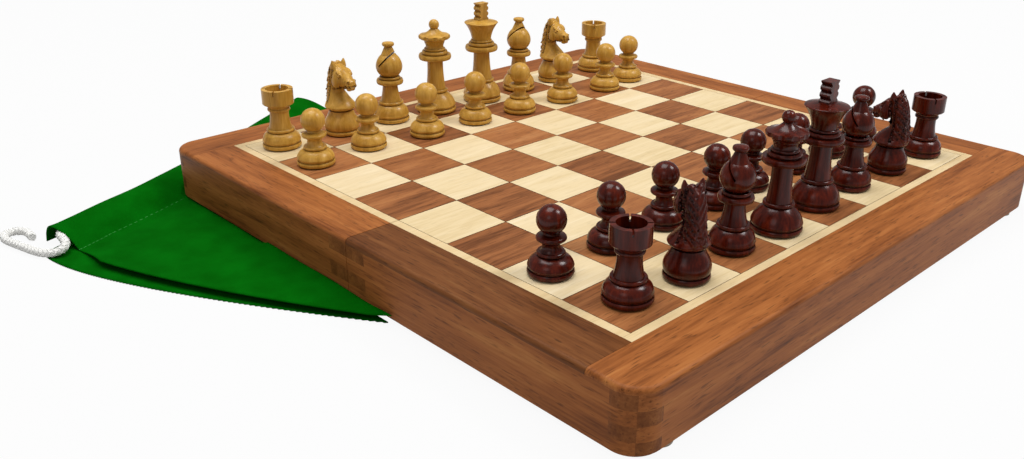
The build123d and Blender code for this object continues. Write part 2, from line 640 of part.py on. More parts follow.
os.makedirs("parts", exist_ok=True)
half_box("white", Rot(0, 0, 0))
half_box("black", Rot(0, 0, 180))
save("hinge_pins", *[bar(x - HINGE_L / 2, x + HINGE_L / 2, PIN_R) for x in hinge_places()])
pads()
set_pieces()
bag()
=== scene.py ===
from math import cos, pi, radians, sin
import bmesh
import bpy
from mathutils import Matrix, Vector, noise


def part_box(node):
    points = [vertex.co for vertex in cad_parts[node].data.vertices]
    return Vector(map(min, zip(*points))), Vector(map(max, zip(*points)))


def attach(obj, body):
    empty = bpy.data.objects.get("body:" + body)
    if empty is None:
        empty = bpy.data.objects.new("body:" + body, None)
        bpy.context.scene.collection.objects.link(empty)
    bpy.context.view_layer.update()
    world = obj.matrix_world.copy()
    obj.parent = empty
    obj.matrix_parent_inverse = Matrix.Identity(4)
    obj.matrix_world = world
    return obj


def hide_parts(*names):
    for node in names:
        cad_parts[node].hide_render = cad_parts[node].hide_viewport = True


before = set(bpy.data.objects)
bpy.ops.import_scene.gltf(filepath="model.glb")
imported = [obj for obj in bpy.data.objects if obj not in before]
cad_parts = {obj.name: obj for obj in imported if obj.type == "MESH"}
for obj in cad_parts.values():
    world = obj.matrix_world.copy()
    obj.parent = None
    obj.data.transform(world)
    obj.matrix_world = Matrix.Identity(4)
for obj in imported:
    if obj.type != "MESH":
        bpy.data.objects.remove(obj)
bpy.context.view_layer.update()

# Sizes, in metres
MM = 0.001
SQUARE = 31.5 * MM
SQUARE_EDGE_WIDTH = 0.35 * MM
RAIL_CORNER_R = 11.0 * MM
FELT_T = 0.6 * MM
HAIR = 0.01 * MM

# Places taken from the frame: the board's top, its border's inner edge and its corner at -X and +Y
TOP_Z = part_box("white_half_border")[1][2]
BORDER_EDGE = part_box("white_half_inlay")[1][0]
CORNER = Vector((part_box("white_half_outer_rail")[0][0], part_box("white_half_outer_rail")[1][1]))
BOARD_HALF = CORNER.y

# Camera: where the photograph was taken from
CAMERA_AT = Vector((-341.9, -299.5, 188.7)) * MM
CAMERA_YAW = radians(45.47)
CAMERA_PITCH = radians(24.25)
CAMERA_ROLL = radians(-0.60)
CAMERA_SENSOR = 36.0
CAMERA_LENS = 33.87
CAMERA_SHIFT = (-0.0212, -0.0023)
CAMERA_NEAR = 0.01

# Drawstring: its route from the board's corner, in millimetres
CORD_ROUTE = [(-56.6, -14.9, 4.2), (-62.2, -17.0, 5.0), (-66.0, -21.4, 5.5), (-66.2, -27.6, 5.2),
              (-67.2, -33.2, 4.2), (-71.8, -34.4, 2.8), (-76.2, -29.6, 2.1), (-78.8, -22.2, 2.0),
              (-80.6, -14.8, 2.0), (-82.4, -8.0, 2.0), (-83.6, -2.4, 2.0), (-82.4, 2.6, 2.0),
              (-78.2, 4.6, 2.0), (-74.0, 2.0, 2.0), (-73.2, -3.2, 2.0), (-73.6, -8.4, 2.0)]
CORD_D = 3.6 * MM
CORE_INSET = 0.1 * MM
# Steps of the spline between two points of the route, and the roundness of the core and of a strand
CORD_STEPS, CORE_ROUND, STRAND_ROUND = 16, 3, 1
BRAID_STRANDS = 8
BRAID_RADIUS = 1.45 * MM
BRAID_STRAND_R = 0.42 * MM
BRAID_PITCH = 9.0 * MM
BRAID_WEAVE = 0.12 * MM

# Knights: which way each one faces, then their shape facing +X, in millimetres above the board
KNIGHT_FACING = {"white_knight_b": -84, "white_knight_g": -84, "black_knight_b": 84, "black_knight_g": 62}
KNIGHT_FELT_R = 7.6
KNIGHT_BASE = [(8.65, 0.6), (8.92, 1.0), (9.0, 1.55), (8.92, 2.1), (8.65, 2.5), (8.1, 2.5), (8.1, 3.0),
               (8.5, 3.1), (8.85, 3.7), (9.0, 4.8), (8.95, 6.0), (8.6, 7.3), (7.9, 8.7), (7.1, 10.1),
               (6.5, 11.4), (6.2, 12.6), (5.2, 12.6), (5.2, 13.8)]
# Neck from its skirt up: height, back, front and half width
NECK_RINGS = [(13.5, -6.9, 6.9, 6.9), (14.3, -7.9, 7.9, 7.9), (15.0, -8.2, 8.2, 8.2), (16.0, -8.1, 7.7, 7.4),
              (17.6, -8.0, 6.5, 6.2), (19.6, -7.9, 4.2, 5.3), (22.0, -7.8, 1.4, 4.6), (25.0, -7.6, 1.0, 4.3),
              (28.5, -7.1, 2.2, 4.4), (32.0, -6.2, 3.2, 4.4), (34.6, -4.9, 2.4, 3.9), (36.2, -3.6, 1.0, 2.8)]
# Head from the poll to the muzzle: forward, height, half height and half width
HEAD_RINGS = [(-0.6, 31.0, 4.4, 4.2), (0.8, 30.8, 5.0, 4.9), (2.6, 30.4, 5.3, 5.3), (4.6, 29.7, 4.7, 4.6),
              (6.8, 28.5, 3.7, 3.4), (8.6, 27.6, 3.2, 3.0), (9.9, 27.2, 2.7, 2.8), (10.7, 27.2, 1.7, 2.0)]
# Rounded masses on both flanks: place, half sizes and tilt in degrees. Cheek, brow, nostril, lip
FLANK_MASSES = [((2.6, 4.3, 28.4), (2.9, 1.3, 3.3), 0), ((4.3, 3.5, 32.9), (2.3, 1.0, 0.7), 38),
                ((9.4, 2.0, 28.8), (1.3, 1.0, 1.0), 30), ((8.8, 0.9, 25.0), (1.6, 1.5, 1.0), 0)]
# Ears: pointed, from their root to their tip, as height above the root and half sizes along and across
EAR_ROOT, EAR_LEAN = (0.2, 2.9, 33.8), radians(9)
EAR_RINGS = [(0.0, 1.6, 1.5), (1.6, 1.7, 1.5), (3.2, 1.3, 1.1), (4.6, 0.6, 0.5), (5.2, 0.2, 0.2)]
# Mane: a row of locks down the crest, from behind the ears to the skirt
MANE_LOCKS = 8
MANE_TOP, MANE_FOOT = (-3.6, 35.8), (-8.4, 17.4)
MANE_ARCH = 1.1
LOCK_SIZE, LOCK_ASIDE, LOCK_TILT = (1.6, 1.9, 2.1), 1.4, 28
# The masses are joined at this voxel size, then softened by this factor, this many times over
HEAD_VOXEL = 0.26 * MM
HEAD_SOFTENING, HEAD_PASSES = 0.5, 4
# Fineness of the rings and the turned base, then of the masses and the eyes, round and from pole to pole
RING_SEGMENTS, TURNED_STEPS = 40, 72
MASS_SEGMENTS, EYE_SEGMENTS = (20, 14), (14, 10)
# Lines cut on both flanks between two points, forward and height, with their width and depth
MANE_EDGE = (Vector((-2.0, 35.6)), Vector((-3.4, 16.4)), 0.8, 0.75)
CHEEK_EDGE = (Vector((0.4, 33.8)), Vector((-0.6, 24.6)), 0.8, 0.7)
JAW_EDGE = (Vector((-0.6, 24.6)), Vector((6.2, 25.2)), 0.8, 0.8)
MOUTH = (Vector((6.8, 26.3)), Vector((11.8, 26.5)), 0.5, 0.7)
CARVED_LINES = (MANE_EDGE, CHEEK_EDGE, JAW_EDGE, MOUTH)
# Hair cut into the mane
HAIR_PITCH, HAIR_DEPTH, HAIR_SLOPE = 1.9, 0.5, radians(32)
EYE, EYE_R = (4.9, 4.05, 31.4), 0.75
NOSTRIL, NOSTRIL_R, NOSTRIL_DEPTH = (10.1, 2.5, 28.7), 0.8, 0.8
# Angle from which an edge of the turned base stays sharp
SHARP_FROM = radians(38)

# Cloth bag: its corners and bowed edges in plan from the board's corner, in millimetres
HEM_MIDDLE, HEM_END = (0.4, 7.6), (118.4, 85.6)
LOWER_SIDE = [(-74.6, -25.4), (-79.0, -63.0), (1.4, -182.4)]
UPPER_SIDE = [(-69.6, -14.4), (-69.6, -70.4), (1.4, -185.4)]
BAG_FAR_CORNER = (210.4, -71.4)
# The bag passes under the board this far along the rail from the corner. Beyond that it keeps this clear of
# the rail, which leaves room for the folding half
BAG_UNDER, BAG_CLEAR = 84.4 * MM, 0.6 * MM
BAG_EDGE_X, BAG_EDGE_Y = CORNER.x - BAG_CLEAR, CORNER.y - BAG_UNDER
# Cloth, and the heights that its two layers lie at
CLOTH_T = 0.5 * MM
LOWER_Z, UPPER_Z = 0.25 * MM, 0.8 * MM
# Casing along the mouth: its depth, the place, height and roundness of its ridge, and how far its stitches
# draw the side in
HEM_DEPTH, HEM_RIDGE, HEM_RISE, HEM_ROUND, HEM_NOTCH = 30.0 * MM, 5.5 * MM, 8.0 * MM, 0.6, 5.0 * MM
# Slack of the upper layer, the rise of its fold, and its rise against the rail that it doesn't pass under
PUFF, PUFF_REACH = 2.2 * MM, 28.0 * MM
FOLD_RISE, FOLD_REACH = 2.6 * MM, 7.0 * MM
RAIL_RISE, RAIL_REACH = 0.9 * MM, 6.0 * MM
CRUMPLE, CRUMPLE_SIZE = 0.5 * MM, 26.0 * MM
# The board presses the upper layer flat up to the first distance outside its outline, and it is free from the
# second
FREE_FROM, FREE_TO = 0.4 * MM, 1.6 * MM
# Teeth of the lower layer's pinked edge, and the grid of each layer
PINKING = 0.7 * MM
BAG_ACROSS, BAG_DOWN = 150, 190
# Stitches: their number along the mouth, their half sizes in millimetres, and the two points of its pitch
# that each one lies at and points to
STITCHES = 58
STITCH_SIZE = (1.2, 0.28, 0.22)
STITCH_SPAN = (0.4, 0.6)
STITCH_SEGMENTS = (8, 6)


def linear(code):
    """sRGB hex colour as linear red, green, blue and full alpha."""
    parts = [int(code[i:i + 2], 16) / 255 for i in (1, 3, 5)]
    return [p / 12.92 if p <= 0.04045 else ((p + 0.055) / 1.055) ** 2.4 for p in parts] + [1.0]


def add(tree, kind, inputs=None, **settings):
    """Adds a node with its settings, and feeds its inputs with values or with other nodes' outputs."""
    node = tree.nodes.new(kind)
    for name, value in settings.items():
        setattr(node, name, value)
    for key, value in (inputs or {}).items():
        if isinstance(value, bpy.types.NodeSocket):
            tree.links.new(value, node.inputs[key])
        else:
            node.inputs[key].default_value = value
    return node


def new_material(name, **shader):
    """Material with an empty tree and its shader, whose even values are set on its own sockets."""
    material = bpy.data.materials.new(name)
    material.use_nodes = True
    tree = material.node_tree
    tree.nodes.clear()
    surface = add(tree, "ShaderNodeBsdfPrincipled", shader)
    add(tree, "ShaderNodeOutputMaterial", {"Surface": surface.outputs[0]})
    return material, tree, surface


def ramp(tree, factor, stops):
    """Colour ramp from (place, hex colour) stops."""
    node = add(tree, "ShaderNodeValToRGB", {"Fac": factor})
    elements = node.color_ramp.elements
    while len(elements) < len(stops):
        elements.new(0.5)
    for element, (place, code) in zip(elements, stops):
        element.position = place
        element.color = linear(code)
    return node.outputs["Color"]


def blend_colours(tree, factor, a, b, how="MIX"):
    """Mixes two colours, or lays the second over the first in another way."""
    node = add(tree, "ShaderNodeMix", {0: factor, 6: a, 7: b}, data_type="RGBA", blend_type=how)
    return node.outputs[2]


# Sawn wood: how many times longer than wide its figure, fibres and pores are, the pores' width in fibres, the
# share of the fibres in its colour, how far one square's tone strays, where the pores begin and are full, and
# the share of the end grain
FIGURE_LENGTH, FIBRE_LENGTH, PORE_LENGTH = 9, 22, 9
PORE_WIDTH = 0.8
FIBRE_SHARE = 0.35
TONE_SPREAD = 0.1
PORE_FROM, PORE_FULL = 0.6, 0.74
END_SHARE = 0.42


def sawn_wood(name, stops, grain_along="X", figure_mm=7.0, fibre_mm=0.9, pore_depth=0.5, turn_at=None,
              ends_at=None, squares=False, dark_strip=None):
    """Sawn and lacquered hardwood: long bands of figure, fine fibres and short dark pores along the grain."""
    material, tree, surface = new_material(name, Roughness=0.48, **{"Specular IOR Level": 0.12})
    board = add(tree, "ShaderNodeTexCoord").outputs["Object"]
    place = board
    if grain_along == "Y":
        place = add(tree, "ShaderNodeMapping", {"Vector": place, "Rotation": (0, 0, pi / 2)}).outputs[0]
    if turn_at:
        apart = add(tree, "ShaderNodeSeparateXYZ", {0: place})
        far = add(tree, "ShaderNodeMath", {0: apart.outputs["Y"]}, operation="ABSOLUTE").outputs[0]
        inside = add(tree, "ShaderNodeMath", {0: far, 1: turn_at}, operation="LESS_THAN").outputs[0]
        turned = add(tree, "ShaderNodeMapping", {"Vector": place, "Rotation": (0, 0, pi / 2)}).outputs[0]
        place = add(tree, "ShaderNodeMix", {0: inside, 4: place, 5: turned}, data_type="VECTOR").outputs[1]
    along = place
    if squares:
        per_square = (1 / SQUARE,) * 3
        cells = add(tree, "ShaderNodeVectorMath", {0: board, 1: per_square}, operation="MULTIPLY").outputs[0]
        cell = add(tree, "ShaderNodeVectorMath", {0: cells}, operation="FLOOR").outputs[0]
        chance = add(tree, "ShaderNodeTexWhiteNoise", {"Vector": cell})
        shift = chance.outputs["Color"]
        place = add(tree, "ShaderNodeVectorMath", {0: place, 1: shift}, operation="ADD").outputs[0]

    def stretched(across_mm, longer):
        scale = 1 / (across_mm * MM)
        size = (scale / longer, scale, scale)
        return add(tree, "ShaderNodeMapping", {"Vector": place, "Scale": size}).outputs[0]

    figure = add(tree, "ShaderNodeTexNoise", {"Vector": stretched(figure_mm, FIGURE_LENGTH), "Scale": 1.0,
                                              "Detail": 4.0, "Distortion": 0.8})
    fibres = add(tree, "ShaderNodeTexNoise", {"Vector": stretched(fibre_mm, FIBRE_LENGTH), "Scale": 1.0,
                                              "Detail": 3.0})
    pores = add(tree, "ShaderNodeTexNoise", {"Vector": stretched(PORE_WIDTH * fibre_mm, PORE_LENGTH),
                                             "Scale": 1.0, "Detail": 1.0})
    mixed = add(tree, "ShaderNodeMix", {0: FIBRE_SHARE, 2: figure.outputs[0],
                                        3: fibres.outputs[0]}).outputs[0]
    if squares:
        tone = add(tree, "ShaderNodeMapRange", {0: chance.outputs["Value"], 3: -TONE_SPREAD,
                                                 4: TONE_SPREAD}).outputs[0]
        mixed = add(tree, "ShaderNodeMath", {0: mixed, 1: tone}, operation="ADD").outputs[0]
    colour = ramp(tree, mixed, stops)
    hollow = add(tree, "ShaderNodeMapRange", {0: pores.outputs[0], 1: PORE_FROM, 2: PORE_FULL, 4: pore_depth})
    colour = blend_colours(tree, hollow.outputs[0], colour, linear(PORE))
    if ends_at:
        apart = add(tree, "ShaderNodeSeparateXYZ", {0: along})
        far = add(tree, "ShaderNodeMath", {0: apart.outputs["X"]}, operation="ABSOLUTE").outputs[0]
        end = add(tree, "ShaderNodeMapRange", {0: far, 1: ends_at, 2: ends_at + HAIR,
                                                4: END_SHARE}).outputs[0]
        colour = blend_colours(tree, end, colour, linear(END_GRAIN))
    # Dark line drawn along each square's edge
    if squares:
        part = add(tree, "ShaderNodeVectorMath", {0: cells}, operation="FRACTION").outputs[0]
        off = add(tree, "ShaderNodeVectorMath", {0: part, 1: (0.5,) * 3}, operation="SUBTRACT").outputs[0]
        off = add(tree, "ShaderNodeVectorMath", {0: off}, operation="ABSOLUTE").outputs[0]
        apart = add(tree, "ShaderNodeSeparateXYZ", {0: off})
        edge = add(tree, "ShaderNodeMath", {0: apart.outputs["X"], 1: apart.outputs["Y"]},
                   operation="MAXIMUM")
        line = add(tree, "ShaderNodeMath", {0: edge.outputs[0], 1: 0.5 - SQUARE_EDGE_WIDTH / SQUARE / 2},
                   operation="GREATER_THAN").outputs[0]
        colour = blend_colours(tree, line, colour, linear(SQUARE_EDGE_DARK))
    if dark_strip:
        apart = add(tree, "ShaderNodeSeparateXYZ", {0: board})
        past = add(tree, "ShaderNodeMath", {0: apart.outputs["X"], 1: -dark_strip}, operation="LESS_THAN")
        strip = add(tree, "ShaderNodeMath", {0: past.outputs[0], 1: inside}, operation="MULTIPLY").outputs[0]
        colour = blend_colours(tree, strip, colour, linear(DARKER), "MULTIPLY")
    tree.links.new(colour, surface.inputs["Base Color"])
    relief = add(tree, "ShaderNodeMix", {0: 0.5, 2: fibres.outputs[0], 3: pores.outputs[0]}).outputs[0]
    bump = add(tree, "ShaderNodeBump", {"Height": relief, "Strength": 0.18, "Distance": 0.15 * MM})
    tree.links.new(bump.outputs[0], surface.inputs["Normal"])
    return material


# Turned wood: width and height of its figure, fibres and lathe rings, in millimetres
TURNED_FIGURE, TURNED_FIBRES, LATHE_RINGS = (3.2, 20.0), (0.7, 8.0), (17.0, 0.4)
TURNED_FIBRE_SHARE = 0.3
# Painted shade in the grooves, drawn from ambient occlusion: how wide a groove it reaches into, how closed
# that is where it is full and where it is gone, and its share in the colour
GROOVE_SHADE_REACH = 2.5 * MM
GROOVE_SHADE_FULL, GROOVE_SHADE_GONE, GROOVE_SHADE_SHARE = 0.35, 0.85, 0.75
# Widths of the other finishes' patterns, in millimetres
WOOL_MM, SCRATCH_MM, THREAD_MM, NAP_MM, YARN_MM = 0.7, 0.33, 0.9, 11.0, 0.55
# How many times longer than wide a scratch is, how much duller the metal is in it, and the turn of the weave
SCRATCH_LENGTH, SCRATCH_DULLING, WEAVE_TURN = 20, 0.18, radians(-30)


def turned_wood(name, stops, groove_shade_colour, gloss, coat):
    """Turned and polished wood: upright grain, faint lathe rings, and painted shade that darkens the grooves.
    """
    material, tree, surface = new_material(name, Roughness=gloss, **{
        "Specular IOR Level": 0.22, "Coat Weight": coat, "Coat Roughness": 0.1})
    place = add(tree, "ShaderNodeTexCoord").outputs["Object"]

    def pattern(across_mm, up_mm, detail, distortion=0.0):
        across, up = 1 / (across_mm * MM), 1 / (up_mm * MM)
        scaled = add(tree, "ShaderNodeMapping", {"Vector": place, "Scale": (across, across, up)}).outputs[0]
        return add(tree, "ShaderNodeTexNoise", {"Vector": scaled, "Scale": 1.0, "Detail": detail,
                                                "Distortion": distortion}).outputs[0]

    figure = pattern(*TURNED_FIGURE, 3.0, 0.6)
    fibres = pattern(*TURNED_FIBRES, 2.0)
    lathe = pattern(*LATHE_RINGS, 2.0)
    mixed = add(tree, "ShaderNodeMix", {0: TURNED_FIBRE_SHARE, 2: figure, 3: fibres}).outputs[0]
    colour = ramp(tree, mixed, stops)
    # Painted shade: ambient occlusion darkens the colour in the grooves
    hollow = add(tree, "ShaderNodeAmbientOcclusion", {"Distance": GROOVE_SHADE_REACH}, samples=6, only_local=True)
    shade = add(tree, "ShaderNodeMapRange", {0: hollow.outputs["AO"], 1: GROOVE_SHADE_FULL, 2: GROOVE_SHADE_GONE,
                                             3: GROOVE_SHADE_SHARE, 4: 0.0})
    colour = blend_colours(tree, shade.outputs[0], colour, linear(groove_shade_colour))
    tree.links.new(colour, surface.inputs["Base Color"])
    bump = add(tree, "ShaderNodeBump", {"Height": lathe, "Strength": 0.10, "Distance": 0.1 * MM})
    tree.links.new(bump.outputs[0], surface.inputs["Normal"])
    return material


def felt(name, dark, light):
    """Pressed wool felt: dull, with fine cloudy fibres."""
    material, tree, surface = new_material(name, Roughness=0.95, **{"Specular IOR Level": 0.1})
    place = add(tree, "ShaderNodeTexCoord").outputs["Object"]
    wool = add(tree, "ShaderNodeTexNoise", {"Vector": place, "Scale": 1 / (WOOL_MM * MM), "Detail": 4.0})
    colour = blend_colours(tree, wool.outputs[0], linear(dark), linear(light))
    tree.links.new(colour, surface.inputs["Base Color"])
    bump = add(tree, "ShaderNodeBump", {"Height": wool.outputs[0], "Strength": 0.5, "Distance": 0.2 * MM})
    tree.links.new(bump.outputs[0], surface.inputs["Normal"])
    return material


def metal(name, dark, light, gloss):
    """Stamped and rolled sheet metal: even colour with fine rolling scratches."""
    material, tree, surface = new_material(name, Metallic=1.0)
    place = add(tree, "ShaderNodeTexCoord").outputs["Object"]
    across = 1 / (SCRATCH_MM * MM)
    size = (across / SCRATCH_LENGTH, across, across)
    rolled = add(tree, "ShaderNodeMapping", {"Vector": place, "Scale": size}).outputs[0]
    scratch = add(tree, "ShaderNodeTexNoise", {"Vector": rolled, "Scale": 1.0, "Detail": 3.0}).outputs[0]
    rough = add(tree, "ShaderNodeMapRange", {0: scratch, 3: gloss, 4: gloss + SCRATCH_DULLING}).outputs[0]
    tree.links.new(rough, surface.inputs["Roughness"])
    tree.links.new(blend_colours(tree, scratch, linear(dark), linear(light)), surface.inputs["Base Color"])
    return material


def cotton_cloth(name, dark, light):
    """Brushed cotton cloth: a plain weave, drawn coarse so that it shows, under a soft cloudy nap."""
    material, tree, surface = new_material(name, Roughness=0.9, **{"Specular IOR Level": 0.02})
    place = add(tree, "ShaderNodeTexCoord").outputs["Object"]
    # The wave pattern repeats after pi / 10 of its coordinate
    thread = pi / (THREAD_MM * MM) / 10
    turned = add(tree, "ShaderNodeMapping", {"Vector": place, "Rotation": (0, 0, WEAVE_TURN),
                                             "Scale": (thread, thread, thread)}).outputs[0]
    weave = [add(tree, "ShaderNodeTexWave", {"Vector": turned, "Scale": 1.0, "Distortion": 0.6},
                 bands_direction=way).outputs["Fac"] for way in "XY"]
    nap = add(tree, "ShaderNodeTexNoise", {"Vector": place, "Scale": 1 / (NAP_MM * MM),
                                           "Detail": 5.0}).outputs[0]
    crossed = add(tree, "ShaderNodeMath", {0: weave[0], 1: weave[1]}, operation="MAXIMUM").outputs[0]
    tree.links.new(ramp(tree, nap, [(0.3, dark), (0.7, light)]), surface.inputs["Base Color"])
    bump = add(tree, "ShaderNodeBump", {"Height": crossed, "Strength": 0.25, "Distance": 0.1 * MM})
    tree.links.new(bump.outputs[0], surface.inputs["Normal"])
    return material


def cord_cotton():
    """Braided cotton cord: off-white and matt, with painted shade that greys the hollows between its strands.
    """
    material, tree, surface = new_material("braided_cotton", Roughness=0.85, **{"Sheen Weight": 0.1})
    place = add(tree, "ShaderNodeTexCoord").outputs["Object"]
    yarn = add(tree, "ShaderNodeTexNoise", {"Vector": place, "Scale": 1 / (YARN_MM * MM), "Detail": 3.0})
    # Painted shade: the colour greys where the yarn's bump dips into its hollows
    colour = ramp(tree, yarn.outputs[0], [(0.3, "#c9c8c4"), (0.65, "#f0efeb")])
    tree.links.new(colour, surface.inputs["Base Color"])
    bump = add(tree, "ShaderNodeBump", {"Height": yarn.outputs[0], "Strength": 0.4, "Distance": 0.1 * MM})
    tree.links.new(bump.outputs[0], surface.inputs["Normal"])
    return material


# Wood colours along each grain pattern, from its darkest bands to its lightest
ROSEWOOD = [(0.28, "#582b11"), (0.42, "#854c23"), (0.55, "#9c5d2e"), (0.72, "#b0733d")]
DARK_SQUARE = [(0.28, "#653a1e"), (0.44, "#8c5631"), (0.58, "#a0673c"), (0.75, "#b07a4d")]
MAPLE = [(0.25, "#c8b083"), (0.45, "#d6c096"), (0.62, "#dcc8a2"), (0.80, "#e4d5b7")]
BOXWOOD = [(0.25, "#9a6b1f"), (0.45, "#ba8a35"), (0.62, "#ca9c47"), (0.80, "#dab263")]
STAINED = [(0.25, "#270500"), (0.45, "#410d02"), (0.62, "#5a1907"), (0.80, "#792a0f")]
INLAY = [(0.25, "#c4a779"), (0.45, "#d2b88b"), (0.80, "#dcc69e")]
PORE, END_GRAIN, SQUARE_EDGE_DARK, DARKER = "#2a1408", "#47250f", "#3c2212", "#bcc0ca"
# End grain shows on the outer part of the rounded corners, this share of their radius
END_GRAIN_ROUND = 0.3
RAIL_END = BOARD_HALF - END_GRAIN_ROUND * RAIL_CORNER_R

FINISHES = {
    "outer_rail": sawn_wood("rosewood_long_rail", ROSEWOOD, ends_at=RAIL_END),
    "seam_rail": sawn_wood("rosewood_seam_rail", ROSEWOOD, ends_at=RAIL_END),
    "side_rails": sawn_wood("rosewood_side_rail", ROSEWOOD, grain_along="Y", ends_at=RAIL_END),
    "border": sawn_wood("rosewood_border", ROSEWOOD, turn_at=BORDER_EDGE),
    "black_border": sawn_wood("rosewood_border_mixed", ROSEWOOD, turn_at=BORDER_EDGE, dark_strip=BORDER_EDGE),
    "panel": sawn_wood("plain_panel", BOXWOOD, figure_mm=9.0, fibre_mm=1.0, pore_depth=0.3),
    "light_squares": sawn_wood("maple_squares", MAPLE, figure_mm=5.0, fibre_mm=0.8, pore_depth=0.12,
                               squares=True),
    "dark_squares": sawn_wood("rosewood_squares", DARK_SQUARE, figure_mm=5.0, fibre_mm=0.8, squares=True),
    "inlay": sawn_wood("maple_inlay", INLAY, figure_mm=5.0, fibre_mm=0.8, pore_depth=0.1),
    "pads": felt("pad_felt", "#a5998a", "#c8beb0"),
    "magnets": metal("nickel_plating", "#a9a9a4", "#dcdcd8", 0.25),
    "hinge_leaves": metal("rolled_brass", "#a8843f", "#d9c48c", 0.3),
    "hinge_screws": metal("screw_brass", "#a8843f", "#d9c48c", 0.25)}
# The third colour of each is the painted shade in the pieces' grooves
LIGHT_PIECES = turned_wood("polished_boxwood", BOXWOOD, "#6e4517", 0.33, 0.08)
DARK_PIECES = turned_wood("polished_stained_wood", STAINED, "#0e0301", 0.25, 0.08)
PIECE_FELT = felt("base_felt", "#10301a", "#2d5a38")


def finish_nodes():
    """Gives the CAD nodes their materials, and each turned piece its felt underside."""
    for name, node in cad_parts.items():
        materials = node.data.materials
        materials.clear()
        if "_half_" in name:
            part = name.split("_half_")[1]
            materials.append(FINISHES["black_border" if name == "black_half_border" else part])
        elif name == "hinge_pins":
            materials.append(FINISHES["hinge_screws"])
        else:
            materials.append(LIGHT_PIECES if name.startswith("white") else DARK_PIECES)
            materials.append(PIECE_FELT)
            for face in node.data.polygons:
                face.material_index = int(face.center.z < TOP_Z + FELT_T - HAIR)


def show(name, mesh, body, slot, *materials):
    """Puts a finished mesh into the scene as a piece that rides on a body."""
    for material in materials:
        mesh.materials.append(material)
    piece = bpy.data.objects.new(name, mesh)
    bpy.context.scene.collection.objects.link(piece)
    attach(piece, body)
    return piece


def smooth_step(value, low, high):
    """Rises smoothly from 0 at low to 1 at high."""
    t = min(1.0, max(0.0, (value - low) / (high - low)))
    return t * t * (3 - 2 * t)


def groove(forward, z, line):
    """Depth at a point of the flank of a groove cut along a line."""
    start, end, width, depth = line
    along = end - start
    off = Vector((forward, z)) - start
    share = off.dot(along) / along.length_squared
    gap = (off - along * min(1.0, max(0.0, share))).length
    return depth * cos(gap / width * pi / 2) if gap < width else 0.0


def carving_depth(forward, aside, z):
    """How deep the carver's cuts go at a point of the head, in millimetres."""
    depth = sum(groove(forward, z, line) for line in CARVED_LINES)
    start, end, width, _ = MANE_EDGE
    edge = start.x + (end.x - start.x) * (z - start.y) / (end.y - start.y)
    on_mane = smooth_step(edge - forward, 0, width) * smooth_step(z, end.y, end.y + width)
    across = abs(aside) * cos(HAIR_SLOPE) - z * sin(HAIR_SLOPE)
    depth += on_mane * HAIR_DEPTH * (0.5 + 0.5 * cos(2 * pi * across / HAIR_PITCH))
    hole = (Vector((forward, abs(aside), z)) - Vector(NOSTRIL)).length / NOSTRIL_R
    return depth + NOSTRIL_DEPTH * max(0.0, 1 - hole * hole)


def at(place, size=(1, 1, 1), turn=Matrix()):
    """Matrix of a shape at a place in millimetres, scaled in its own axes and then turned."""
    return Matrix.Translation(Vector(place) * MM) @ turn @ Matrix.Diagonal((*(Vector(size) * MM), 1.0))


def loft(work, rings):
    """Bridges circles that are set out by their matrices, with the two ends closed."""
    last = None
    for n, matrix in enumerate(rings):
        end = n in (0, len(rings) - 1)
        made = bmesh.ops.create_circle(work, cap_ends=end, segments=RING_SEGMENTS, radius=1.0, matrix=matrix)
        edges = list({e for v in made["verts"] for e in v.link_edges})
        if last:
            bmesh.ops.bridge_loops(work, edges=last + edges)
        last = edges


def ball(work, segments, radius, matrix):
    """Sphere that its matrix places and stretches."""
    around, down = segments
    bmesh.ops.create_uvsphere(work, u_segments=around, v_segments=down, radius=radius, matrix=matrix)


def mass(work, place, size, tilt):
    """Rounded mass on each flank, tilted in the plane of the flank."""
    turn = Matrix.Rotation(radians(tilt), 4, "Y")
    for flank in (-1, 1):
        middle = (place[0], flank * place[1], place[2])
        ball(work, MASS_SEGMENTS, 1.0, at(middle, size, turn))


